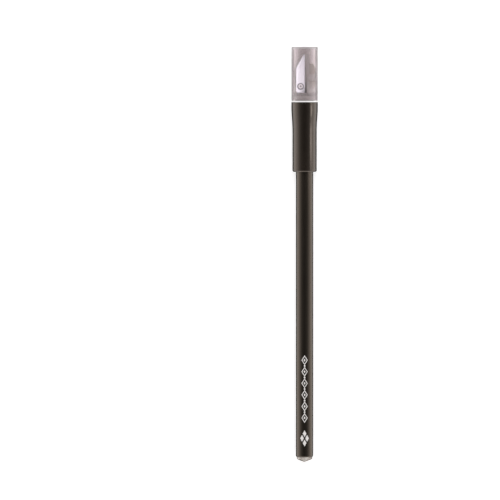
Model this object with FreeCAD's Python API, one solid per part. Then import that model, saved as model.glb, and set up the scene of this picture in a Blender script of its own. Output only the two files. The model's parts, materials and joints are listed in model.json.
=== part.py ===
"""A cosmetic pencil with its cap on, and a sharpener under a clear cover in the cap's end.

Everything is drawn upright along Z in millimetres, the stone at the bottom and the blade facing -Y.
The finished pieces are then laid down along +Y with the blade facing up, where the pencil rests
on the round edge of its butt and on the widest ring of its cap.
"""

import FreeCAD, Part
import math
import os

V = FreeCAD.Vector

# Pencil
barrel_diameter = 7.5
bare_barrel_length = 123.3  # from the butt to the cap's mouth
barrel_in_cap = 9.15  # from the cap's mouth to the shoulder of the sharpened cone
butt_round = 0.5
lacquer_thickness = 0.12
casing_edge = 0.35  # chamfer under the lacquer's round
point_half_angle = 16.5  # degrees, of the sharpened cone and of the sharpener
lead_diameter = 3.9
lead_tip_diameter = 1.1  # where the blunt tip starts
lead_tip_rise = 0.35

# Stone on the butt
gem_diameter = 6.8
gem_side_height = 0.85
gem_point_height = 1.45
gem_facets = 8
gem_side_draft = 5.0  # degrees, of the facets round its side
gem_break_slope = 45.0  # degrees, of the small facets between the side and the point

# Cap sleeve
sleeve_diameter = 10.48
sleeve_rim_diameter = 11.42
sleeve_length = 30.1
sleeve_mouth_round = 0.65
sleeve_mouth_lead = 0.35
flare_length = 11.4
rim_length = 1.6  # straight part above the flare
rim_edge = 0.12  # chamfer
socket_gap = 0.3  # below the spigot

# Ribs that grip the barrel and stop its cone
rib_count = 6
rib_width = 0.8
rib_height = 0.35
rib_from_mouth = 1.4
rib_ramp = 0.8
rib_stop_reach = 0.6
rib_stop_length = 1.0
grip_clearance = 0.05

# Sharpener body
spigot_diameter = 9.5
spigot_length = 4.5
spigot_lead = 0.2
flange_diameter = 11.3
flange_thickness = 0.65
seat_ring_height = 1.75  # the ring that the cover fits
seat_ring_lead = 0.2
neck_diameter = 9.0
neck_height = 1.6
block_diameter = 9.9
block_left = 4.25  # from the cap's axis to the flat left side
block_right = 4.75
block_left_side = 10.7  # straight side up to the slope
block_right_side = 10.4  # straight side up to the shoulder
block_height = 17.1
shoulder_height = 12.7
shoulder_slope_run = 1.15
nose_left = 0.75
nose_right = 2.0
nose_side = 15.6
nose_slope_run = 0.9
block_corner_round = 0.5
back_taper = 7.0  # degrees
back_taper_start = 4.0
fit_clearance = 0.05  # spigot in sleeve, and ring in cover

# Sharpener bore, throat and cheek
bore_setback = 0.3  # the bore lies this far behind the cap's axis
guide_clearance = 0.1
blade_bite = 0.05
relief_diameter = 0.9
relief_length = 1.0
throat_width = 1.0
throat_top_width = 0.55
cheek_depth = 0.6
cheek_foot_height = 2.0
cheek_rib_start = 5.7
cheek_rib_width = 2.7

# Blade and its screw
blade_width = 3.8
blade_overhang = 0.15  # of the cutting edge past the axis, over the throat
blade_length = 17.2
blade_side_length = 11.0
blade_tip_width = 0.6
blade_thickness = 0.35
blade_bevel_width = 0.5
blade_edge_land = 0.05
blade_foot_inset = 0.4
blade_foot_rise = 1.4
screw_from_axis = 1.75
screw_from_foot = 2.8
screw_head_diameter = 2.85
screw_head_height = 0.35
screw_head_edge = 0.2  # chamfer
screw_recess_span = 1.25  # across the cross recess
screw_recess_width = 0.45
screw_recess_depth = 0.2
screw_recess_turn = 20.0  # degrees
screw_shank_diameter = 1.2
screw_shank_depth = 0.35  # in the body, above the pointed end
screw_point_length = 0.5
screw_hole_clearance = 0.1

# Dust cover
cover_diameter = 11.3
cover_length = 23.2
cover_wall = 0.5
cover_top_thickness = 0.9
cover_edge = 0.2  # chamfer
cover_mouth_lead = 0.15

# Radii and heights that follow from these
slope = math.tan(math.radians(point_half_angle))
barrel_radius = barrel_diameter / 2
core_radius = barrel_radius - lacquer_thickness
lead_radius = lead_diameter / 2
lead_tip_radius = lead_tip_diameter / 2
gem_radius = gem_diameter / 2
butt_z = gem_point_height + gem_side_height
core_z = butt_z + lacquer_thickness
mouth_z = butt_z + bare_barrel_length
shoulder_z = mouth_z + barrel_in_cap
apex_z = shoulder_z + barrel_radius / slope
rim_z = mouth_z + sleeve_length
sleeve_radius = sleeve_diameter / 2
rim_radius = sleeve_rim_diameter / 2
grip_radius = barrel_radius + grip_clearance
sleeve_bore_radius = grip_radius + rib_height
spigot_radius = spigot_diameter / 2
ring_z = rim_z + flange_thickness
neck_z = ring_z + seat_ring_height
foot_z = neck_z + neck_height
block_top_z = foot_z + block_height
block_radius = block_diameter / 2
cover_radius = cover_diameter / 2
cover_bore_radius = cover_radius - cover_wall
cover_top_z = ring_z + cover_length
guide_radius = barrel_radius + guide_clearance

# Frame of the blade's seat: X across, Y up along the cutting edge, Z out of the face
seat_frame = FreeCAD.Placement(
    V(0, bore_setback - barrel_radius, foot_z),
    FreeCAD.Rotation(V(1, 0, 0), 90 - point_half_angle),
)


def outline_edge(here, step):
    """One edge of an outline: a line to a point, or an arc through one point to another."""
    knots = [V(radius, 0, z) for radius, z in zip(step[0::2], step[1::2])]
    if len(knots) == 1:
        return Part.makeLine(here, knots[0])
    return Part.Arc(here, knots[0], knots[1]).toShape()


def turned(*steps):
    """The solid that an outline of radii and heights sweeps about Z."""
    first = V(steps[0][0], 0, steps[0][1])
    edges = []
    here = first
    for step in steps[1:]:
        edges.append(outline_edge(here, step))
        here = V(step[-2], 0, step[-1])
    edges.append(Part.makeLine(here, first))
    return Part.Face(Part.Wire(edges)).revolve(V(0, 0, 0), V(0, 0, 1), 360)


def round_corner(centre_radius, centre_z, size, degrees):
    """The middle of a quarter arc about a centre, for the arc steps of an outline."""
    angle = math.radians(degrees)
    return centre_radius + size * math.cos(angle), centre_z + size * math.sin(angle)


def swell(low_radius, low_z, high_radius, high_z):
    """The two equal arcs of a gentle S between two radii, for the arc steps of an outline."""
    middle_radius = (low_radius + high_radius) / 2
    middle_z = (low_z + high_z) / 2
    half_turn = math.atan2(middle_radius - low_radius, middle_z - low_z)
    run = (middle_z - low_z) / (2 * math.cos(half_turn))
    rise = run * math.tan(half_turn / 2)
    return (
        (low_radius + rise, low_z + run, middle_radius, middle_z),
        (high_radius - rise, high_z - run, high_radius, high_z),
    )


def prism(points, thickness):
    """A solid on an XY outline, from Z = 0 up."""
    corners = [V(x, y, 0) for x, y in points]
    return Part.Face(Part.makePolygon(corners + corners[:1])).extrude(V(0, 0, thickness))


def front_prism(points, back_y, front_y):
    """A solid on an outline of X and Z, between two values of Y."""
    corners = [V(x, back_y, z) for x, z in points]
    return Part.Face(Part.makePolygon(corners + corners[:1])).extrude(V(0, front_y - back_y, 0))


def half_space(point, outward, size):
    """A block that fills the side of a plane to which outward points."""
    block = Part.makeBox(size, size, size, V(-size / 2, -size / 2, 0))
    block.Placement = FreeCAD.Placement(point, FreeCAD.Rotation(V(0, 0, 1), outward))
    return block


def on_seat(shape):
    """A shape drawn in the seat's frame, moved to its place."""
    shape.Placement = seat_frame.multiply(shape.Placement)
    return shape


def round_edges(shape, size, chosen):
    """The shape with its edges rounded wherever chosen says so for an edge's middle."""
    edges = [edge for edge in shape.Edges if chosen(edge.CenterOfMass)]
    return shape.makeFillet(size, edges)


def coated_rod():
    """The lacquered outside of the barrel, from its round butt past the apex."""
    mid = round_corner(barrel_radius - butt_round, butt_z + butt_round, butt_round, -45)
    return turned(
        (0, butt_z),
        (barrel_radius - butt_round, butt_z),
        (*mid, barrel_radius, butt_z + butt_round),
        (barrel_radius, apex_z),
        (0, apex_z),
    )


def bare_rod():
    """The wood under the lacquer, from its chamfered end past the apex."""
    return turned(
        (0, core_z),
        (core_radius - casing_edge, core_z),
        (core_radius, core_z + casing_edge),
        (core_radius, apex_z),
        (0, apex_z),
    )


def sharpened(shape):
    """The part of a shape that lies inside the sharpened cone."""
    return shape.common(Part.makeCone(apex_z * slope, 0, apex_z))


def casing():
    """The whole wooden casing, with the groove for the lead."""
    return sharpened(bare_rod()).cut(Part.makeCylinder(lead_radius, apex_z, V(0, 0, 0)))


def casing_half(side):
    """One of the two glued slats, on the side of the XZ plane that side gives."""
    return casing().cut(half_space(V(0, 0, apex_z / 2), V(0, -side, 0), 2 * apex_z))


def lead():
    """The pigment core, sharpened with the casing to a blunt round tip."""
    tip_z = apex_z - lead_tip_radius / slope
    shoulder = apex_z - lead_radius / slope
    dome_radius = (lead_tip_radius**2 + lead_tip_rise**2) / (2 * lead_tip_rise)
    dome_half = math.asin(lead_tip_radius / dome_radius) / 2
    dome_z = tip_z + lead_tip_rise - dome_radius
    return turned(
        (0, core_z),
        (lead_radius, core_z),
        (lead_radius, shoulder),
        (lead_tip_radius, tip_z),
        (
            dome_radius * math.sin(dome_half),
            dome_z + dome_radius * math.cos(dome_half),
            0,
            tip_z + lead_tip_rise,
        ),
    )


def lacquer_coat():
    """The lacquer, dipped over the butt and cut off by the sharpened cone."""
    return sharpened(coated_rod().cut(bare_rod()))


def facet_ring(stone, count, first_turn, radius, z, tilt):
    """The stone with a ring of flat facets cut, each tilted from the stone's flat back."""
    lean = math.radians(tilt)
    for index in range(count):
        turn = math.radians(first_turn + 360 * index / count)
        across = V(math.cos(turn), math.sin(turn), 0)
        outward = across * math.sin(lean) - V(0, 0, math.cos(lean))
        stone = stone.cut(half_space(across * radius + V(0, 0, z), outward, 4 * gem_diameter))
    return stone


def end_gem():
    """The faceted stone: a drafted side, small break facets, and main facets to the point."""
    facet_turn = 360 / gem_facets
    main_slope = math.degrees(math.atan2(gem_point_height, gem_radius))
    break_radius = gem_radius * math.cos(math.radians(facet_turn / 4))
    stone = Part.makeCylinder(gem_radius, butt_z)
    stone = facet_ring(stone, 2 * gem_facets, facet_turn / 4, gem_radius, butt_z, 90 - gem_side_draft)
    stone = facet_ring(stone, gem_facets, 0, 0, 0, main_slope)
    return facet_ring(stone, gem_facets, facet_turn / 2, break_radius, gem_point_height, gem_break_slope)


def sleeve_rib(turn):
    """One rib: a ramp, the land that grips the barrel, and the step that stops its cone."""
    root = sleeve_bore_radius + rib_height
    stop_radius = grip_radius - rib_stop_reach
    start_z = mouth_z + rib_from_mouth
    stop_z = shoulder_z + rib_stop_reach / slope
    rib = front_prism(
        (
            (root, start_z),
            (sleeve_bore_radius, start_z),
            (grip_radius, start_z + rib_ramp),
            (grip_radius, shoulder_z),
            (stop_radius, stop_z),
            (stop_radius, stop_z + rib_stop_length),
            (root, stop_z + rib_stop_length),
        ),
        -rib_width / 2,
        rib_width / 2,
    )
    rib.rotate(V(0, 0, 0), V(0, 0, 1), turn)
    return rib


def cap_sleeve():
    """The moulded sleeve, flared to its rim, with the socket for the sharpener's spigot."""
    socket_radius = spigot_radius + fit_clearance
    socket_z = rim_z - spigot_length - socket_gap
    flare_end = rim_z - rim_length
    flare_start = flare_end - flare_length
    mouth_mid = round_corner(
        sleeve_radius - sleeve_mouth_round, mouth_z + sleeve_mouth_round, sleeve_mouth_round, -45
    )
    sleeve = turned(
        (sleeve_bore_radius + sleeve_mouth_lead, mouth_z),
        (sleeve_radius - sleeve_mouth_round, mouth_z),
        (*mouth_mid, sleeve_radius, mouth_z + sleeve_mouth_round),
        (sleeve_radius, flare_start),
        *swell(sleeve_radius, flare_start, rim_radius, flare_end),
        (rim_radius, rim_z - rim_edge),
        (rim_radius - rim_edge, rim_z),
        (socket_radius, rim_z),
        (socket_radius, socket_z),
        (sleeve_bore_radius, socket_z),
        (sleeve_bore_radius, mouth_z + sleeve_mouth_lead),
    )
    ribs = [sleeve_rib(360 * index / rib_count) for index in range(rib_count)]
    return sleeve.fuse(ribs).removeSplitter()


def sharpener_base():
    """The turned foot of the sharpener: spigot, flange, ring for the cover, and neck."""
    ring_radius = cover_bore_radius - fit_clearance
    bottom_z = rim_z - spigot_length
    return turned(
        (0, bottom_z),
        (spigot_radius - spigot_lead, bottom_z),
        (spigot_radius, bottom_z + spigot_lead),
        (spigot_radius, rim_z),
        (flange_diameter / 2, rim_z),
        (flange_diameter / 2, ring_z),
        (ring_radius, ring_z),
        (ring_radius, neck_z - seat_ring_lead),
        (ring_radius - seat_ring_lead, neck_z),
        (neck_diameter / 2, neck_z),
        (neck_diameter / 2, foot_z),
        (0, foot_z),
    )


def shouldered_block():
    """The block above the neck, round at front and back, with a shoulder at its right and a nose."""
    outline = (
        (-block_left, foot_z),
        (block_right, foot_z),
        (block_right, foot_z + block_right_side),
        (block_right - shoulder_slope_run, foot_z + shoulder_height),
        (nose_right, foot_z + shoulder_height),
        (nose_right, foot_z + nose_side),
        (nose_right - nose_slope_run, block_top_z),
        (-nose_left, block_top_z),
        (-block_left, foot_z + block_left_side),
    )
    front = front_prism(outline, block_diameter, -block_diameter)
    front = round_edges(front, block_corner_round, lambda p: abs(p.y) < 1e-6 and p.z > foot_z + 1)
    block = Part.makeCylinder(block_radius, block_height, V(0, 0, foot_z)).common(front)
    lean = math.radians(back_taper)
    behind = half_space(
        V(0, block_radius, foot_z + back_taper_start), V(0, math.cos(lean), math.sin(lean)), 99
    )
    return block.cut(behind)


def sharpener_bore():
    """What the pencil's end fills: the guide, the cone behind the blade, and the relief hole."""
    relief_radius = relief_diameter / 2
    wall_apex_z = foot_z + (barrel_radius + blade_bite) / slope
    relief_z = wall_apex_z - relief_radius / slope
    bore = turned(
        (0, rim_z - spigot_length - 1),
        (guide_radius, rim_z - spigot_length - 1),
        (guide_radius, wall_apex_z - guide_radius / slope),
        (relief_radius, relief_z),
        (relief_radius, relief_z + relief_length),
        (0, relief_z + relief_length),
    )
    bore.translate(V(0, bore_setback, 0))
    return bore


def throat():
    """The slot beside the cutting edge where the shaving leaves, narrowing with the cone."""
    top_z = foot_z + (barrel_radius - relief_diameter / 2) / slope
    return front_prism(
        ((0, foot_z), (throat_width, foot_z), (throat_top_width, top_z), (0, top_z)),
        bore_setback,
        -block_diameter,
    )


def cheek_pockets():
    """Two shallow steps in the face beside the nose, with a rib left between them."""
    spans = (
        (cheek_foot_height, cheek_rib_start),
        (cheek_rib_start + cheek_rib_width, block_height),
    )
    pockets = []
    for low, high in spans:
        outline = ((nose_right, low), (block_radius, low), (block_radius, high), (nose_right, high))
        pocket = prism(outline, cheek_depth + 1)
        pocket.translate(V(0, 0, -cheek_depth))
        pockets.append(on_seat(pocket))
    return pockets


def screw_shank():
    """The screw's shank below its head, down to its point, in the seat's frame."""
    shank_radius = screw_shank_diameter / 2
    shank = turned(
        (0, -screw_shank_depth - screw_point_length),
        (shank_radius, -screw_shank_depth),
        (shank_radius, blade_thickness),
        (0, blade_thickness),
    )
    shank.translate(V(-screw_from_axis, screw_from_foot, 0))
    return shank


def sharpener_body():
    """The moulded insert, with the blade's seat cut flush with the cutting cone."""
    out_of_seat = seat_frame.Rotation.multVec(V(0, 0, 1))
    block = shouldered_block().cut(half_space(seat_frame.Base, out_of_seat, 99))
    block = block.cut(throat())
    for pocket in cheek_pockets():
        block = block.cut(pocket)
    body = sharpener_base().fuse(block).removeSplitter()
    body = body.cut(sharpener_bore())
    return body.cut(on_seat(screw_shank()))


def sharpener_blade():
    """The steel blade, its cutting edge ground on the outer face, lying on the seat."""
    edge = blade_overhang
    back = blade_overhang - blade_width
    blade = prism(
        (
            (edge, 0),
            (edge, blade_length),
            (edge - blade_tip_width, blade_length),
            (back, blade_side_length),
            (back, blade_foot_rise),
            (back + blade_foot_inset, 0),
        ),
        blade_thickness,
    )
    rise = blade_thickness - blade_edge_land
    ground = half_space(V(edge, blade_length / 2, blade_edge_land), V(rise, 0, blade_bevel_width), 99)
    hole_radius = screw_shank_diameter / 2 + screw_hole_clearance
    hole = Part.makeCylinder(hole_radius, 3, V(-screw_from_axis, screw_from_foot, -1))
    return on_seat(blade.cut(ground).cut(hole))


def blade_screw():
    """The cross-recessed screw that holds the blade."""
    head_radius = screw_head_diameter / 2
    top = blade_thickness + screw_head_height
    head = turned(
        (0, blade_thickness),
        (head_radius, blade_thickness),
        (head_radius, top - screw_head_edge),
        (head_radius - screw_head_edge, top),
        (0, top),
    )
    for turn in (screw_recess_turn, screw_recess_turn + 90):
        arm = Part.makeBox(screw_recess_span, screw_recess_width, screw_head_height)
        arm.translate(V(-screw_recess_span / 2, -screw_recess_width / 2, top - screw_recess_depth))
        arm.rotate(V(0, 0, 0), V(0, 0, 1), turn)
        head = head.cut(arm)
    head.translate(V(-screw_from_axis, screw_from_foot, 0))
    return on_seat(head.fuse(screw_shank()).removeSplitter())


def dust_cover():
    """The clear cover, closed and flat on top."""
    inner_top_z = cover_top_z - cover_top_thickness
    return turned(
        (cover_bore_radius + cover_mouth_lead, ring_z),
        (cover_radius, ring_z),
        (cover_radius, cover_top_z - cover_edge),
        (cover_radius - cover_edge, cover_top_z),
        (0, cover_top_z),
        (0, inner_top_z),
        (cover_bore_radius, inner_top_z),
        (cover_bore_radius, ring_z + cover_mouth_lead),
    )


def resting_frame(pieces):
    """Lays the pencil down: its butt's edge and its rim touch the floor, the origin lies under
    the middle of its box."""
    rise = rim_radius - barrel_radius
    run = (rim_z - rim_edge) - (butt_z + butt_round)
    tilt = math.degrees(math.atan2(rise, run))
    turn = FreeCAD.Placement(V(0, 0, 0), FreeCAD.Rotation(V(1, 0, 0), tilt - 90))
    laid = Part.makeCompound(list(pieces))
    laid.Placement = turn
    box = laid.optimalBoundingBox(False, False)
    middle = V((box.XMin + box.XMax) / 2, (box.YMin + box.YMax) / 2, box.ZMin)
    return FreeCAD.Placement(middle * -1, turn.Rotation)


nodes = {
    "casing_front": casing_half(-1),
    "casing_back": casing_half(1),
    "lead": lead(),
    "lacquer_coat": lacquer_coat(),
    "end_gem": end_gem(),
    "cap_sleeve": cap_sleeve(),
    "sharpener_body": sharpener_body(),
    "sharpener_blade": sharpener_blade(),
    "blade_screw": blade_screw(),
    "dust_cover": dust_cover(),
}
rest = resting_frame(nodes.values())
os.makedirs("parts", exist_ok=True)
for name, shape in nodes.items():
    shape.Placement = rest.multiply(shape.Placement)
    shape.exportStep(f"parts/{name}.step")
    print(name, "solids", len(shape.Solids), "volume", round(shape.Volume, 2), "valid", shape.isValid())
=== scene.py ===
import json
import math

import bpy
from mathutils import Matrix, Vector


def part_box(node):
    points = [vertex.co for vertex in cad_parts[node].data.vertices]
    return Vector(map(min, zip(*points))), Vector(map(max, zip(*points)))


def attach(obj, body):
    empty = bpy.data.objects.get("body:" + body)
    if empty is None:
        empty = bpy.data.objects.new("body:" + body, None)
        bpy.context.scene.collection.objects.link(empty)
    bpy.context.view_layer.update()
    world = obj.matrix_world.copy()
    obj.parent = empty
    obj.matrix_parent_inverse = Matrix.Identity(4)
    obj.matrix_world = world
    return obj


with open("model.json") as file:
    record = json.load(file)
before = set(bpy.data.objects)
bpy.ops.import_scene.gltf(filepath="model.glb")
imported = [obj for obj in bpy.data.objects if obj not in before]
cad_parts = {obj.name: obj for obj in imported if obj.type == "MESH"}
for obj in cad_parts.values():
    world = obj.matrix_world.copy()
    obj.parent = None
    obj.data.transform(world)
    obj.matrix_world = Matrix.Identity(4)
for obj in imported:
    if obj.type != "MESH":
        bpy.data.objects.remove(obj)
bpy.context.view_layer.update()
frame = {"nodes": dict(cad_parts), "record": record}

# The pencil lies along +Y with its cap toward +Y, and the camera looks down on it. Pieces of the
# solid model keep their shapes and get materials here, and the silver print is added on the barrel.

MM = 0.001
MICRON = 1e-6

# Camera
FRAME_WIDTH = 216.0 * MM  # what the picture spans at the pencil
VIEW_CENTRE = (-23.57 * MM, 2.03 * MM, 5.8 * MM)  # the point that the camera looks at
CAMERA_HEIGHT = 2.2  # above the floor
CAMERA_TOWARD_CAP = 0.038  # how far the camera stands past that point, toward the cap

# Studio
SEEN_RAYS = ("Is Camera Ray", "Is Transmission Ray")  # from the camera, also through clear pieces
FLOOR_SIZE = 12.0
FLOOR_COLOUR = (0.8, 0.8, 0.8)
FLOOR_GLOW = 0.5  # seen by the camera and through clear pieces
FLOOR_SHEEN = 0.9  # a painted sheen, seen in gloss at a low angle
FLOOR_STEEP = 0.1  # how much of the floor's colour is left in gloss at a steep angle, a painted dark reflection
FLOOR_LOW_ANGLE = (0.25, 0.55)  # how glancing a ray is where that sheen starts, and is full
SKY_STOPS = (  # the sine of a direction's height, and how bright the studio is there
    (0.0, 1.5),
    (0.25, 1.25),
    (0.42, 0.87),
    (0.63, 0.48),
    (0.8, 0.2),
    (1.0, 0.02),
)
SKY_END_FILL = 0.8  # more light from the pencil's two ends
SKY_ENDS = (0.35, 0.65)  # the share of a direction along the pencil where that starts, and is full
LAMPS = (  # name, point to face, azimuth and lean in degrees, distance and sizes in metres, watts
    ("overhead_softbox", (0, 0, 0), 90, 30, 1.5, (1.1, 0.9), 7.2),
    ("sleeve_strip", (0, 51 * MM, 6 * MM), 0, 61, 0.2, (0.028, 0.06), 0.012),
    ("edge_strip", (0, 160 * MM, 6 * MM), 0, 60, 0.2, (0.06, 0.036), 0.022),
)

# Sharpener and clear cover
FLANGE_FROM_TOP = 23.53 * MM  # from the cover's top to the middle of the sharpener's flange
FLANGE_SPAN = 20 * MM  # the stretch that the next two lists divide, from the flange's middle to the nose
BODY_MILKY = (  # a share of the stretch, and how milky and opaque the sharpener's body is there
    (0.018, 1.0),  # flange
    (0.02, 0.65),  # ring for the cover
    (0.103, 0.65),
    (0.106, 0.15),  # neck
    (0.183, 0.15),
    (0.188, 0.85),  # foot of the block
    (0.32, 0.7),
    (0.42, 0.1),  # throat
    (0.84, 0.1),
    (0.94, 0.6),  # nose
)
BORE_SHADE = (  # a share of the stretch, and how much light is left over the bore, which shows darkly
    (0.0, 1.0),
    (0.002, 0.5),
    (0.02, 0.5),
    (0.03, 0.85),
    (0.065, 1.0),
)
BORE_SIDES = (3.0 * MM, 4.4 * MM)  # how far from the pencil's axis that shade starts to fade, and ends
BLOCK_LEFT = 4.25 * MM  # from the pencil's axis to the block's left side
RIM_SHADE = 0.7  # how much light is left on the rim along that side
RIM_SPAN = (0.2 * MM, 0.7 * MM)  # how far from the side the rim's shade starts to fade, and ends
RIM_START = (0.23, 0.26)  # the shares of the stretch where the rim's shade starts, and is full
BLADE_THICKNESS = 0.35 * MM
SEAT_NORMAL = (0, 0.27168, 0.96236)  # out of the face that the blade lies on
POCKET_DEPTH = 0.6 * MM
CORNER_SHADE_LEVEL = 0.6  # how much of the steel's tone is left where shade is painted at a corner of the blade's foot
CORNER_SHADE_SPAN = (1.0 * MM, 2.6 * MM)  # how far from the corner that painted shade starts to fade, and ends
SCREW_REACH = 1.5 * MM
SCREW_SHADE_LEVELS = (  # a share of that reach from the screw's middle, and the painted shade there: how bare and bright its metal is
    (0.2, 0.2),
    (0.32, 1.0),
    (0.64, 1.0),
    (0.72, 0.1),
)
COVER_END_WALL = 0.9 * MM  # how thick the cover's end is
COVER_END_CLEAR = 0.78  # the share of light that its end lets by
COVER_PAINTED_SHADE = (  # how glancing the view is, and the share of light that the plastic lets by there, with painted shade in a straight view and at glancing edges
    (0.0, 0.9),
    (0.13, 0.93),
    (0.3, 0.985),
    (0.42, 0.99),
    (0.55, 0.93),
    (0.75, 0.88),
)

# Print
PRINT_LIFT = 0.012 * MM  # how far it stands out of the barrel
PRINT_SINK = 0.02 * MM  # how far it goes in

# Places and sizes of the print's figures, in millimetres on the barrel from the butt
CHAIN_START = 14.6
CHAIN_PITCH = 5.0
CHAIN_COUNT = 6
LINK_HALF_WIDTH = 1.35
LINK_HALF_LENGTH = 2.1
LINK_INSIDE = 0.72  # a link's inner outline as a share of its outer one
BEAD_HALF_WIDTH = 0.42
BEAD_HALF_LENGTH = 0.62
EMBLEM_MIDDLE = 8.3
EMBLEM_HALF_WIDTH = 1.9
EMBLEM_HALF_LENGTH = 3.5
EMBLEM_PIECE = 0.42  # each of its four lozenges as a share of the whole


def grey(level):
    """A colour with the same level in each channel."""
    return (level, level, level, 1)


# Camera and lamps


def add_camera():
    """The camera above the pencil, a little toward the cap, with the cap at the picture's top."""
    data = bpy.data.cameras.new("camera")
    camera = bpy.data.objects.new("camera", data)
    bpy.context.scene.collection.objects.link(camera)
    target = Vector(VIEW_CENTRE)
    camera.location = Vector((target.x, target.y + CAMERA_TOWARD_CAP, CAMERA_HEIGHT))
    toward = target - camera.location
    tilt = math.atan2(CAMERA_TOWARD_CAP, CAMERA_HEIGHT - target.z)
    camera.rotation_euler = (-tilt, 0, 0)
    data.sensor_width = 36.0
    data.lens = data.sensor_width * toward.length / FRAME_WIDTH
    bpy.context.scene.camera = camera


def add_lamp(name, target, azimuth, lean, distance, sizes, watts):
    """A rectangular lamp that faces a point, leaned from straight above toward an azimuth from +X."""
    data = bpy.data.lights.new(name, "AREA")
    data.shape = "RECTANGLE"
    data.size, data.size_y = sizes
    data.energy = watts
    lamp = bpy.data.objects.new(name, data)
    turn, lean = math.radians(azimuth), math.radians(lean)
    away = Vector((math.sin(lean) * math.cos(turn), math.sin(lean) * math.sin(turn), math.cos(lean)))
    lamp.location = Vector(target) + away * distance
    lamp.rotation_euler = away.to_track_quat("Z", "Y").to_euler()
    lamp.visible_camera = False
    bpy.context.scene.collection.objects.link(lamp)


# Shader nodes


def set_stops(ramp, stops):
    """Gives a colour ramp its stops, each a place and a colour."""
    elements = ramp.color_ramp.elements
    while len(elements) < len(stops):
        elements.new(0.5)
    for element, (place, colour) in zip(elements, stops):
        element.position = place
        element.color = colour


def math_node(nodes, links, operation, *values):
    """The result of a Math node on numbers and sockets."""
    node = nodes.new("ShaderNodeMath")
    node.operation = operation
    for socket, value in zip(node.inputs, values):
        if isinstance(value, (int, float)):
            socket.default_value = value
        else:
            links.new(value, socket)
    return node.outputs["Value"]


def map_range(nodes, links, value, start, end, low, high, kind="LINEAR"):
    """The value with its range from start to end moved to low to high, and held there."""
    node = nodes.new("ShaderNodeMapRange")
    node.interpolation_type = kind
    for name, number in zip(("From Min", "From Max", "To Min", "To Max"), (start, end, low, high)):
        node.inputs[name].default_value = number
    links.new(value, node.inputs["Value"])
    return node.outputs["Result"]


def mix_shader(nodes, links, share, below, above):
    """A shader that turns from one into another as the share goes from 0 to 1."""
    node = nodes.new("ShaderNodeMixShader")
    links.new(share, node.inputs["Fac"])
    links.new(below, node.inputs[1])
    links.new(above, node.inputs[2])
    return node.outputs["Shader"]


def light_path(nodes, links, names):
    """A socket that is 1 for any of the named kinds of ray, and 0 for others."""
    path = nodes.new("ShaderNodeLightPath")
    found = path.outputs[names[0]]
    for name in names[1:]:
        found = math_node(nodes, links, "MAXIMUM", found, path.outputs[name])
    return found


# World and floor


def add_world():
    """A studio that is bright round the horizon and dark overhead, on a white background."""
    world = bpy.data.worlds.new("studio")
    world.use_nodes = True
    bpy.context.scene.world = world
    nodes, links = world.node_tree.nodes, world.node_tree.links
    studio = nodes["Background"]
    direction = nodes.new("ShaderNodeTexCoord")
    parts = nodes.new("ShaderNodeSeparateXYZ")
    links.new(direction.outputs["Generated"], parts.inputs["Vector"])
    ramp = nodes.new("ShaderNodeValToRGB")
    links.new(parts.outputs["Z"], ramp.inputs["Fac"])
    brightest = SKY_STOPS[0][1]
    set_stops(ramp, [(place, grey(level / brightest)) for place, level in SKY_STOPS])
    along = math_node(nodes, links, "ABSOLUTE", parts.outputs["Y"])
    ends = map_range(nodes, links, along, *SKY_ENDS, 0, SKY_END_FILL, kind="SMOOTHSTEP")
    strength = math_node(nodes, links, "MULTIPLY_ADD", ramp.outputs["Color"], brightest, ends)
    studio.inputs["Color"].default_value = grey(1.0)
    links.new(strength, studio.inputs["Strength"])
    white = nodes.new("ShaderNodeBackground")
    white.inputs["Color"].default_value = grey(1.0)
    seen = light_path(nodes, links, SEEN_RAYS)
    sky = mix_shader(nodes, links, seen, studio.outputs["Background"], white.outputs["Background"])
    links.new(sky, nodes["World Output"].inputs["Surface"])


def add_floor():
    """The white floor that the pencil lies on, with a painted sheen and a painted dark reflection where
    it is seen in gloss.
    """
    mesh = bpy.data.meshes.new("floor")
    half = FLOOR_SIZE / 2
    corners = [(-half, -half, 0), (half, -half, 0), (half, half, 0), (-half, half, 0)]
    mesh.from_pydata(corners, [], [(0, 1, 2, 3)])
    floor = bpy.data.objects.new("floor", mesh)
    bpy.context.scene.collection.objects.link(floor)
    material = bpy.data.materials.new("floor")
    material.use_nodes = True
    nodes, links = material.node_tree.nodes, material.node_tree.links
    shader = nodes["Principled BSDF"]
    shader.inputs["Roughness"].default_value = 0.9
    shader.inputs["Specular IOR Level"].default_value = 0.0
    shader.inputs["Emission Color"].default_value = grey(1.0)
    glancing = nodes.new("ShaderNodeLayerWeight").outputs["Facing"]
    low_angle = map_range(nodes, links, glancing, *FLOOR_LOW_ANGLE, 0, 1)
    in_gloss = light_path(nodes, links, ("Is Glossy Ray",))
    # Painted sheen: the floor glows in gloss at a low angle
    sheen = math_node(nodes, links, "MULTIPLY", in_gloss, low_angle)
    seen = light_path(nodes, links, SEEN_RAYS)
    glow = math_node(nodes, links, "MULTIPLY", seen, FLOOR_GLOW)
    glow = math_node(nodes, links, "MULTIPLY_ADD", sheen, FLOOR_SHEEN, glow)
    links.new(glow, shader.inputs["Emission Strength"])
    # Painted dark reflection: less of the floor's colour in gloss at a steep angle
    steep = math_node(nodes, links, "SUBTRACT", in_gloss, sheen)
    left = math_node(nodes, links, "MULTIPLY_ADD", steep, FLOOR_STEEP - 1, 1)
    colour = nodes.new("ShaderNodeVectorMath")
    colour.operation = "SCALE"
    colour.inputs["Vector"].default_value = FLOOR_COLOUR
    links.new(left, colour.inputs["Scale"])
    links.new(colour.outputs["Vector"], shader.inputs["Base Color"])
    mesh.materials.append(material)


# Materials


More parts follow.
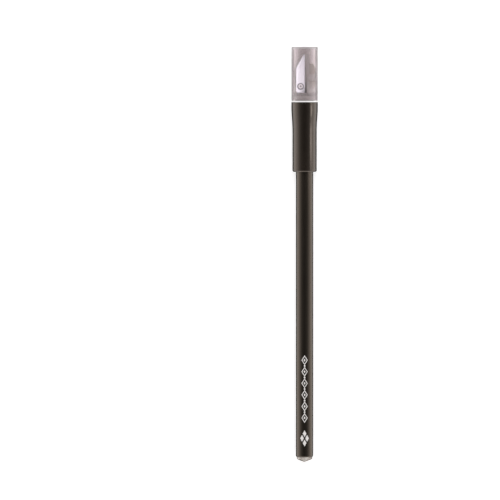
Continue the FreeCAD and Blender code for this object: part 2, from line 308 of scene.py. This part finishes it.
class Surface:
    """A node material on one Principled shader, with patterns sized in millimetres."""

    def __init__(self, name):
        self.material = bpy.data.materials.new(name)
        self.material.use_nodes = True
        self.nodes = self.material.node_tree.nodes
        self.links = self.material.node_tree.links
        self.shader = self.nodes["Principled BSDF"]
        coordinates = self.nodes.new("ShaderNodeTexCoord")
        self.place = coordinates.outputs["Object"]
        self.facing = coordinates.outputs["Normal"]

    def constant(self, **values):
        """Sets sockets of the Principled shader, with _ for the spaces in their names."""
        for name, value in values.items():
            self.shader.inputs[name.replace("_", " ")].default_value = value

    def feed(self, value, name):
        """Links a value into a socket of the Principled shader."""
        self.links.new(value, self.shader.inputs[name])

    def scaled(self, per_mm, shift=(0, 0, 0)):
        """The place on the object, times a count of repeats per millimetre on each axis."""
        mapping = self.nodes.new("ShaderNodeMapping")
        mapping.inputs["Scale"].default_value = [count / MM for count in per_mm]
        mapping.inputs["Location"].default_value = shift
        self.links.new(self.place, mapping.inputs["Vector"])
        return mapping.outputs["Vector"]

    def noise(self, per_mm, detail=3.0, roughness=0.5, distortion=0.0, shift=(0, 0, 0)):
        """Noise from 0 to 1 with so many features per millimetre on each axis."""
        node = self.nodes.new("ShaderNodeTexNoise")
        node.inputs["Scale"].default_value = 1.0
        node.inputs["Detail"].default_value = detail
        node.inputs["Roughness"].default_value = roughness
        node.inputs["Distortion"].default_value = distortion
        self.links.new(self.scaled(per_mm, shift), node.inputs["Vector"])
        return node.outputs["Fac"]

    def by_facet(self, scale):
        """A value from 0 to 1 that stays the same over each flat facet."""
        node = self.nodes.new("ShaderNodeTexNoise")
        node.inputs["Scale"].default_value = scale
        node.inputs["Detail"].default_value = 0.0
        self.links.new(self.facing, node.inputs["Vector"])
        return node.outputs["Fac"]

    def combined(self, operation, *values):
        """The result of a Math node on numbers and sockets."""
        return math_node(self.nodes, self.links, operation, *values)

    def spread(self, value, start, end, low, high):
        """The value with its range from start to end moved to low to high, and held there."""
        return map_range(self.nodes, self.links, value, start, end, low, high)

    def tones(self, value, *stops):
        """Colours along a value, each stop a place and a colour."""
        ramp = self.nodes.new("ShaderNodeValToRGB")
        set_stops(ramp, [(place, (*colour, 1)) for place, colour in stops])
        self.links.new(value, ramp.inputs["Fac"])
        return ramp.outputs["Color"]

    def levels(self, value, stops):
        """Grey levels along a value, each stop a place and a level."""
        return self.tones(value, *[(place, (level, level, level)) for place, level in stops])

    def times(self, colour, other):
        """A colour times a value or another colour."""
        node = self.nodes.new("ShaderNodeVectorMath")
        node.operation = "MULTIPLY"
        self.links.new(colour, node.inputs[0])
        self.links.new(other, node.inputs[1])
        return node.outputs["Vector"]

    def with_vector(self, operation, vector, other, result="Vector"):
        """The result of a vector operation on a linked vector and a constant one."""
        node = self.nodes.new("ShaderNodeVectorMath")
        node.operation = operation
        self.links.new(vector, node.inputs[0])
        node.inputs[1].default_value = other
        return node.outputs[result]

    def mixed(self, share, colour, other):
        """A colour that turns into another, constant one as the share goes from 0 to 1."""
        node = self.nodes.new("ShaderNodeMix")
        node.data_type = "RGBA"
        self.links.new(share, node.inputs["Factor"])
        self.links.new(colour, node.inputs["A"])
        node.inputs["B"].default_value = (*other, 1)
        return node.outputs["Result"]

    def reach(self, point, axes):
        """How far the place is from a point, in metres, along the axes that are 1."""
        apart = self.with_vector("SUBTRACT", self.place, point)
        along = self.with_vector("MULTIPLY", apart, axes)
        return self.with_vector("DISTANCE", along, (0, 0, 0), "Value")

    def corners(self, distance_mm, level, inside=False):
        """A value for painted shade and light, going from 1 to a level in a piece's recesses, or just
        inside its outer edges.
        """
        node = self.nodes.new("ShaderNodeAmbientOcclusion")
        node.only_local = True
        node.inside = inside
        node.samples = 8
        node.inputs["Distance"].default_value = distance_mm * MM
        openness = node.outputs["AO"]
        if inside:
            return self.spread(openness, 0.25, 0.75, 1, level)
        return self.spread(openness, 0.3, 1, level, 1)

    def toward(self, vector, direction):
        """How far a vector goes in a direction."""
        return self.with_vector("DOT_PRODUCT", vector, direction, "Value")

    def layered(self, share, below, above):
        """A shader that turns from one into another as the share goes from 0 to 1."""
        return mix_shader(self.nodes, self.links, share, below, above)

    def bump(self, height, microns):
        """Raises the surface by a height, over what was raised before."""
        node = self.nodes.new("ShaderNodeBump")
        node.inputs["Distance"].default_value = microns * MICRON
        self.links.new(height, node.inputs["Height"])
        socket = self.shader.inputs["Normal"]
        if socket.is_linked:
            self.links.new(socket.links[0].from_socket, node.inputs["Normal"])
        self.links.new(node.outputs["Normal"], socket)


def lacquer():
    """Dark brown satin lacquer with a soft orange peel and fine rubbing marks."""
    surface = Surface("lacquer")
    tone = surface.noise((0.05, 0.02, 0.05), detail=2)
    colour = surface.tones(tone, (0.3, (0.0075, 0.0064, 0.0052)), (0.7, (0.011, 0.009, 0.0072)))
    surface.feed(colour, "Base Color")
    rubbing = surface.noise((2.5, 0.12, 2.5), detail=4, roughness=0.6)
    surface.feed(surface.spread(rubbing, 0.35, 0.7, 0.16, 0.23), "Roughness")
    surface.constant(Specular_IOR_Level=0.95, Specular_Tint=(1.0, 0.81, 0.65, 1))
    surface.bump(surface.noise((0.5, 0.3, 0.5), detail=1), 5)
    surface.bump(rubbing, 0.8)
    return surface.material


def sleeve_plastic():
    """Dark brown moulded plastic, a little glossier than the lacquer."""
    surface = Surface("sleeve_plastic")
    tone = surface.noise((0.08, 0.04, 0.08), detail=2)
    colour = surface.tones(tone, (0.3, (0.009, 0.007, 0.0054)), (0.7, (0.0135, 0.0102, 0.0078)))
    surface.feed(colour, "Base Color")
    handling = surface.noise((0.9, 0.35, 0.9), detail=5, roughness=0.65)
    surface.feed(surface.spread(handling, 0.4, 0.75, 0.14, 0.21), "Roughness")
    surface.constant(Specular_IOR_Level=0.95, Specular_Tint=(1.0, 0.83, 0.71, 1))
    surface.bump(surface.noise((0.3, 0.2, 0.3), detail=1), 5)
    surface.bump(surface.noise((3, 3, 3), detail=2), 0.6)
    return surface.material


def cedar(name, shift):
    """Bare reddish cedar with its grain along the pencil, cut from another place for each slat."""
    surface = Surface(name)
    rings = surface.noise((1.6, 0.045, 1.6), detail=3, roughness=0.55, distortion=0.6, shift=shift)
    colour = surface.tones(
        rings,
        (0.3, (0.33, 0.15, 0.07)),
        (0.45, (0.55, 0.29, 0.15)),
        (0.62, (0.68, 0.4, 0.22)),
        (0.75, (0.46, 0.22, 0.11)),
    )
    surface.feed(colour, "Base Color")
    fibres = surface.noise((9, 0.35, 9), detail=4, roughness=0.7, shift=shift)
    surface.feed(surface.spread(fibres, 0.3, 0.7, 0.5, 0.75), "Roughness")
    surface.constant(Specular_IOR_Level=0.3)
    surface.bump(fibres, 14)
    return surface.material


def pigment():
    """The waxy near-black core, with the fine rings that sharpening leaves."""
    surface = Surface("pigment")
    smear = surface.noise((0.8, 2.2, 0.8), detail=4, roughness=0.6)
    colour = surface.tones(smear, (0.3, (0.008, 0.007, 0.0065)), (0.75, (0.02, 0.017, 0.015)))
    surface.feed(colour, "Base Color")
    surface.feed(surface.spread(smear, 0.3, 0.7, 0.32, 0.55), "Roughness")
    rings = surface.nodes.new("ShaderNodeTexWave")
    rings.bands_direction = "Y"
    rings.inputs["Scale"].default_value = 1.0
    rings.inputs["Distortion"].default_value = 1.2
    surface.links.new(surface.scaled((0.4, 1.1, 0.4)), rings.inputs["Vector"])
    surface.constant(Sheen_Weight=0.1, Sheen_Roughness=0.4)
    surface.bump(rings.outputs["Fac"], 12)
    return surface.material


def stone():
    """Pale cut glass, a little cloudy, with some facets painted darker than others, a painted reflection
    of what lies behind them.
    """
    surface = Surface("stone")
    cloud = surface.noise((0.45, 0.45, 0.45), detail=2)
    colour = surface.tones(cloud, (0.3, (0.84, 0.77, 0.71)), (0.7, (0.95, 0.9, 0.85)))
    # Painted reflection: a darker tone on some facets, standing in for what lies behind them
    painted_facet_shade = surface.tones(surface.by_facet(2.5), (0.38, (0.5, 0.46, 0.43)), (0.6, (1, 1, 1)))
    surface.feed(surface.times(colour, painted_facet_shade), "Base Color")
    wear = surface.noise((1.2, 1.2, 1.2), detail=3)
    surface.feed(surface.spread(wear, 0.3, 0.7, 0.03, 0.1), "Roughness")
    surface.constant(Transmission_Weight=0.5, IOR=1.55)
    return surface.material


def bore_shade(surface, along):
    """A darker tone over the bore at the flange and the ring, in the middle of the body."""
    beside = surface.spread(surface.reach((0, 0, 0), (1, 0, 0)), *BORE_SIDES, 0, 1)
    return surface.combined("MAXIMUM", surface.levels(along, BORE_SHADE), beside)


def rim_shade(surface, along):
    """A darker tone along the block's left side, beside the blade."""
    rim = surface.spread(surface.reach((-BLOCK_LEFT, 0, 0), (1, 0, 0)), *RIM_SPAN, RIM_SHADE, 1)
    below = surface.spread(along, *RIM_START, 1, 0)
    return surface.combined("MAXIMUM", rim, below)


def pocket_shade(surface):
    """Painted shade, a browner tone on the floors of the pockets beside the throat."""
    low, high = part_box("sharpener_blade")
    seat = Vector((0, low.y, high.z - BLADE_THICKNESS * SEAT_NORMAL[2]))
    seat_level = seat.dot(Vector(SEAT_NORMAL))
    # The painted shade begins at half the depth and is full near the floor, on faces that lie along the
    # seat
    start = seat_level - 0.5 * POCKET_DEPTH
    end = seat_level - 0.9 * POCKET_DEPTH
    sunk = surface.spread(surface.toward(surface.place, SEAT_NORMAL), start, end, 0, 1)
    flat = surface.spread(surface.toward(surface.facing, SEAT_NORMAL), 0.98, 0.995, 0, 1)
    floor = surface.combined("MULTIPLY", sunk, flat)
    return surface.tones(floor, (0, (1, 1, 1)), (1, (0.8, 0.76, 0.69)))


def insert_plastic():
    """Milky white moulded plastic of the sharpener's body, with painted shade and light in its colour.
    """
    surface = Surface("insert_plastic")
    flange_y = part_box("dust_cover")[1].y - FLANGE_FROM_TOP
    height = surface.toward(surface.place, (0, 1, 0))
    along = surface.spread(height, flange_y, flange_y + FLANGE_SPAN, 0, 1)
    milky = surface.levels(along, BODY_MILKY)
    tone = surface.noise((0.25, 0.25, 0.25), detail=2)
    colour = surface.tones(tone, (0.3, (0.9, 0.88, 0.865)), (0.7, (0.95, 0.93, 0.915)))
    shades = (
        pocket_shade(surface),
        rim_shade(surface, along),
        # Painted shade in the piece's recesses and painted light just inside its outer edges
        surface.corners(0.5, 0.95),
        surface.corners(0.5, 1.05, inside=True),
    )
    for shade in shades:
        colour = surface.times(colour, shade)
    colour = surface.mixed(milky, colour, (0.86, 0.85, 0.84))
    surface.feed(surface.times(colour, bore_shade(surface, along)), "Base Color")
    surface.feed(surface.spread(milky, 0, 1, 0.7, 0), "Transmission Weight")
    surface.feed(surface.spread(milky, 0, 1, 0.8, 0), "Subsurface Weight")
    moulding = surface.noise((1.4, 1.4, 1.4), detail=3, roughness=0.6)
    surface.feed(surface.spread(moulding, 0.35, 0.7, 0.32, 0.45), "Roughness")
    surface.constant(Subsurface_Radius=(1, 0.9, 0.9), Subsurface_Scale=2 * MM)
    surface.bump(moulding, 3)
    return surface.material


def blade_steel():
    """Ground steel with its grain across the blade's edge, darker by painted shade at a corner of its
    foot.
    """
    surface = Surface("blade_steel")
    grinding = surface.noise((1.0, 14.0, 1.0), detail=4, roughness=0.7)
    colour = surface.tones(grinding, (0.3, (0.78, 0.83, 0.9)), (0.7, (0.86, 0.91, 0.97)))
    low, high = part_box("sharpener_blade")
    # Painted shade at the corner of the blade's foot
    from_corner = surface.reach((high.x, low.y, 0), (1, 1, 0))
    painted_corner_shade = surface.spread(from_corner, *CORNER_SHADE_SPAN, CORNER_SHADE_LEVEL, 1)
    surface.feed(surface.times(colour, painted_corner_shade), "Base Color")
    surface.feed(surface.spread(grinding, 0.3, 0.7, 0.26, 0.4), "Roughness")
    surface.constant(Metallic=1.0)
    surface.bump(grinding, 1.2)
    return surface.material


def screw_steel():
    """Plated steel, with painted shade in the cross recess where the driver works and round the head's
    edge.
    """
    surface = Surface("screw_steel")
    dull = surface.noise((2.5, 2.5, 2.5), detail=4, roughness=0.6)
    colour = surface.tones(dull, (0.3, (0.72, 0.74, 0.77)), (0.7, (0.86, 0.88, 0.91)))
    low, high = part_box("blade_screw")
    from_middle = surface.reach((low + high) / 2, (1, 1, 0))
    # Painted shade in the cross recess and round the head's edge, dark and less metallic there
    painted_shade = surface.levels(surface.spread(from_middle, 0, SCREW_REACH, 0, 1), SCREW_SHADE_LEVELS)
    surface.feed(surface.times(colour, painted_shade), "Base Color")
    surface.feed(painted_shade, "Metallic")
    surface.feed(surface.spread(dull, 0.3, 0.7, 0.22, 0.42), "Roughness")
    surface.bump(dull, 4)
    return surface.material


def silver_print():
    """Hot-stamped silver ink, pale and softly rough."""
    surface = Surface("silver_print")
    flakes = surface.noise((6, 6, 6), detail=3, roughness=0.6)
    colour = surface.tones(flakes, (0.3, (0.74, 0.71, 0.69)), (0.7, (0.9, 0.86, 0.84)))
    surface.feed(colour, "Base Color")
    surface.feed(surface.spread(flakes, 0.3, 0.7, 0.3, 0.5), "Roughness")
    surface.constant(Metallic=0.2)
    return surface.material


def clear_plastic():
    """Thin smoky plastic: tinted light through it, with painted shade in a straight view and at glancing
    edges, a mirror gloss on it and a faint haze.
    """
    surface = Surface("clear_plastic")
    tone = surface.noise((0.12, 0.06, 0.12), detail=2)
    tint = surface.tones(tone, (0.3, (0.888, 0.854, 0.859)), (0.7, (0.91, 0.876, 0.881)))
    glancing = surface.nodes.new("ShaderNodeLayerWeight").outputs["Facing"]
    from_end = surface.reach(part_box("dust_cover")[1], (0, 1, 0))
    end_wall = surface.spread(from_end, COVER_END_WALL, 0.95 * COVER_END_WALL, 1, COVER_END_CLEAR)
    through = surface.nodes.new("ShaderNodeBsdfTransparent")
    # Painted shade: less light let by in a straight view and at glancing edges
    left = surface.times(surface.times(tint, surface.levels(glancing, COVER_PAINTED_SHADE)), end_wall)
    surface.links.new(left, through.inputs["Color"])
    haze = surface.noise((0.8, 0.3, 0.8), detail=5, roughness=0.65)
    surface.feed(surface.spread(haze, 0.4, 0.75, 0.04, 0.12), "Roughness")
    surface.constant(Base_Color=(0.7, 0.66, 0.67, 1), Specular_IOR_Level=0.5)
    veil = surface.spread(haze, 0.45, 0.8, 0.02, 0.06)
    hazy = surface.layered(veil, through.outputs["BSDF"], surface.shader.outputs["BSDF"])
    gloss = surface.nodes.new("ShaderNodeBsdfGlossy")
    gloss.inputs["Roughness"].default_value = 0.06
    # The gloss grows from 4 % in a straight view to all of the light in a glancing one
    mirrored = surface.spread(surface.combined("POWER", glancing, 5), 0, 1, 0.04, 1)
    wall = surface.layered(mirrored, hazy, gloss.outputs["BSDF"])
    surface.links.new(wall, surface.nodes["Material Output"].inputs["Surface"])
    return surface.material


def dress(node, material):
    """Gives a CAD node's slots one material."""
    mesh = frame["nodes"][node].data
    mesh.materials.clear()
    mesh.materials.append(material)


def dress_nodes():
    """Materials for every node of the solid model."""
    dress("casing_front", cedar("cedar_front", (0, 0, 0)))
    dress("casing_back", cedar("cedar_back", (7.3, 4.1, 2.6)))
    dress("lead", pigment())
    dress("lacquer_coat", lacquer())
    dress("end_gem", stone())
    dress("cap_sleeve", sleeve_plastic())
    dress("sharpener_body", insert_plastic())
    dress("sharpener_blade", blade_steel())
    dress("blade_screw", screw_steel())
    dress("dust_cover", clear_plastic())


# Print


def barrel_frame():
    """The point on the barrel's axis at the butt, the axis toward the cap, and the barrel's radius."""
    mounts = {mount["name"]: mount for mount in frame["record"]["mounts"]}
    hold = mounts["barrel_hold"]
    along = -Vector(hold["axis"]).normalized()
    middle = Vector(hold["pos_m"])
    butt_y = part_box("lacquer_coat")[0].y
    butt = middle + along * ((butt_y - middle.y) / along.y)
    return butt, along, hold["dims"]["r_mm"] * MM


def lozenge(half_width, half_length, per_side=6):
    """Points round a lozenge, anticlockwise seen from above."""
    corners = ((half_width, 0), (0, half_length), (-half_width, 0), (0, -half_length))
    points = []
    for (x, y), (next_x, next_y) in zip(corners, corners[1:] + corners[:1]):
        for step in range(per_side):
            share = step / per_side
            points.append((x + (next_x - x) * share, y + (next_y - y) * share))
    return points


def flat_ring(outline, shares):
    """Points and faces between scaled copies of an outline. A last share of 0 closes its middle."""
    count = len(outline)
    rings = [share for share in shares if share > 0]
    points = [(x * share, y * share) for share in rings for x, y in outline]
    faces = []
    for ring in range(len(rings) - 1):
        for index in range(count):
            beside = (index + 1) % count
            low, high = ring * count, (ring + 1) * count
            faces.append((low + index, low + beside, high + beside, high + index))
    if shares[-1] == 0:
        last = (len(rings) - 1) * count
        faces += [(last + index, last + (index + 1) % count, len(points)) for index in range(count)]
        points.append((0, 0))
    return points, faces


def print_piece(name, figures, ink):
    """One closed thin mesh on the barrel from flat figures, each with its place across and along."""
    butt, along, radius = barrel_frame()
    across = Vector((1, 0, 0))
    above = across.cross(along)
    flat, faces = [], []
    for across_by, along_by, (points, figure_faces) in figures:
        first = len(flat)
        flat += [(x + across_by, y + along_by) for x, y in points]
        faces += [tuple(first + index for index in face) for face in figure_faces]
    vertices = []
    for lift in (PRINT_LIFT, -PRINT_SINK):
        for x, y in flat:
            turn = x * MM / radius
            outward = above * math.cos(turn) + across * math.sin(turn)
            vertices.append(butt + along * (y * MM) + outward * (radius + lift))
    sides = {(a, b) for face in faces for a, b in zip(face, face[1:] + face[:1])}
    count = len(flat)
    walls = [(b, a, a + count, b + count) for a, b in sorted(sides) if (b, a) not in sides]
    below = [tuple(index + count for index in reversed(face)) for face in faces]
    mesh = bpy.data.meshes.new(name)
    mesh.from_pydata(vertices, [], faces + below + walls)
    mesh.materials.append(ink)
    piece = bpy.data.objects.new(name, mesh)
    bpy.context.scene.collection.objects.link(piece)
    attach(piece, "pencil")


def add_print():
    """A chain of open lozenges with beads between them, and four close lozenges nearer to the butt."""
    ink = silver_print()
    solid = (1, 0.66, 0.33, 0)
    link = flat_ring(lozenge(LINK_HALF_WIDTH, LINK_HALF_LENGTH), (1, LINK_INSIDE))
    bead = flat_ring(lozenge(BEAD_HALF_WIDTH, BEAD_HALF_LENGTH, per_side=3), solid)
    figures = []
    for index in range(CHAIN_COUNT):
        middle = CHAIN_START + (index + 0.5) * CHAIN_PITCH
        figures += [(0, middle, link), (0, middle, bead)]
        if index:
            figures.append((0, middle - CHAIN_PITCH / 2, bead))
    print_piece("print_chain", figures, ink)
    reach_across = EMBLEM_HALF_WIDTH * (1 - EMBLEM_PIECE)
    reach_along = EMBLEM_HALF_LENGTH * (1 - EMBLEM_PIECE)
    outline = lozenge(EMBLEM_HALF_WIDTH * EMBLEM_PIECE, EMBLEM_HALF_LENGTH * EMBLEM_PIECE)
    quarter = flat_ring(outline, solid)
    places = ((reach_across, 0), (0, reach_along), (-reach_across, 0), (0, -reach_along))
    print_piece("print_emblem", [(x, EMBLEM_MIDDLE + y, quarter) for x, y in places], ink)


dress_nodes()
add_print()
add_floor()
add_world()
for lamp in LAMPS:
    add_lamp(*lamp)
add_camera()
bpy.context.scene.view_settings.view_transform = "Standard"
